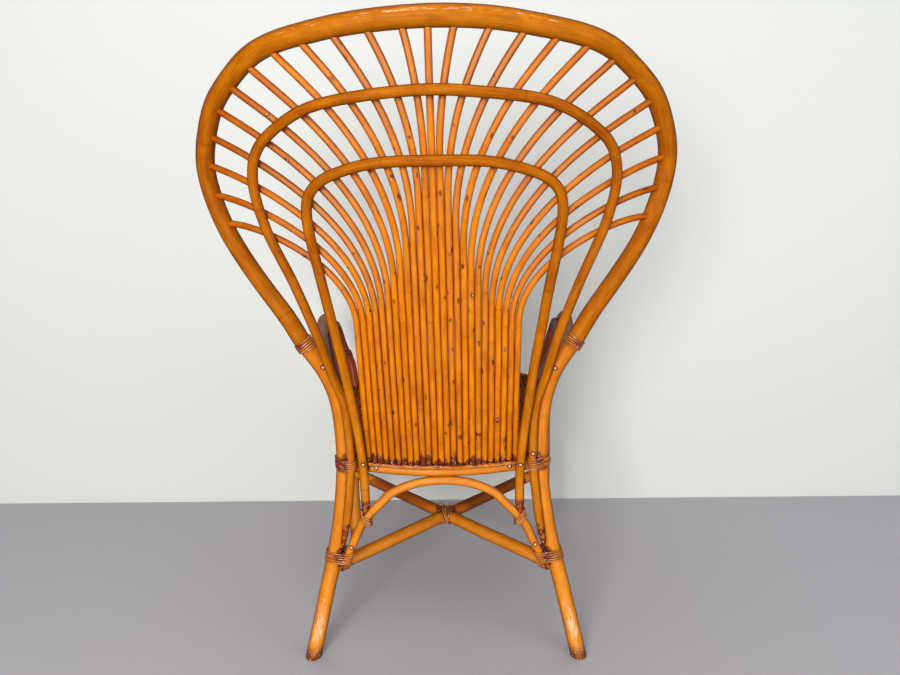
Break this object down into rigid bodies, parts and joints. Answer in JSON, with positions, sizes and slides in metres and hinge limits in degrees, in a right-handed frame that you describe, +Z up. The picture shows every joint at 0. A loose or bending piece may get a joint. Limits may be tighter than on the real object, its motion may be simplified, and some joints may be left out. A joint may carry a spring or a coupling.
{
  "type": "rattan fan-back armchair",
  "caption": "Rattan peacock armchair: bent canes fan out from a woven seat to a wide hoop, on splayed pole legs lashed together and braced by crossed stretchers, for lounging.",
  "frame": {"origin": "on the floor, under the middle of the chair's bounding box", "axes": "+Z up, -Y towards the front where the sitter's feet are, +X to the sitter's left"},
  "size_m": [0.8746, 0.6726, 1.2405],
  "materials": {
    "pole": "honey-orange lacquered rattan pole, satin gloss",
    "cane": "honey-orange lacquered rattan cane, satin gloss",
    "lashing": "lacquered split-cane binding, red-brown stain in the gaps",
    "weave": "close woven split cane, dark brown stain"
  },
  "bodies": {
    "root": {"outer_hoop": "pole", "rear_leg_left": "pole", "rear_leg_right": "pole", "middle_hoop": "pole", "inner_hoop": "pole", "seat_rail_back": "pole", "cane_foot_trim": "pole", "rear_arch": "pole", "front_leg_arm_left": "pole", "front_leg_arm_right": "pole", "inner_arm_left": "pole", "inner_arm_right": "pole", "seat_hoop": "pole", "side_arch_left": "pole", "side_arch_right": "pole", "front_arch": "pole", "stretcher_upper": "pole", "stretcher_lower": "pole", "cane_center": "cane", "cane_left_01": "cane", "cane_right_01": "cane", "cane_left_02": "cane", "cane_right_02": "cane", "cane_left_03": "cane", "cane_right_03": "cane", "cane_left_04": "cane", "cane_right_04": "cane", "cane_left_05": "cane", "cane_right_05": "cane", "cane_left_06": "cane", "cane_right_06": "cane", "cane_left_07": "cane", "cane_right_07": "cane", "cane_left_08": "cane", "cane_right_08": "cane", "cane_left_09": "cane", "cane_right_09": "cane", "cane_left_10": "cane", "cane_right_10": "cane", "cane_left_11": "cane", "cane_right_11": "cane", "cane_left_12": "cane", "cane_right_12": "cane", "lashing_hoop_joint_left": "lashing", "lashing_hoop_joint_right": "lashing", "lashing_rail_left": "lashing", "lashing_rail_right": "lashing", "lashing_rear_lower_left": "lashing", "lashing_rear_lower_right": "lashing", "lashing_front_lower_left": "lashing", "lashing_front_lower_right": "lashing", "lashing_stretcher_end_left": "lashing", "lashing_stretcher_end_right": "lashing", "lashing_inner_hoop_left": "lashing", "lashing_inner_hoop_right": "lashing", "lashing_arm_left": "lashing", "lashing_arm_right": "lashing", "lashing_stretcher_cross": "lashing", "seat_front_wrap": "weave", "seat_panel": "weave"}
  },
  "joints": []
}
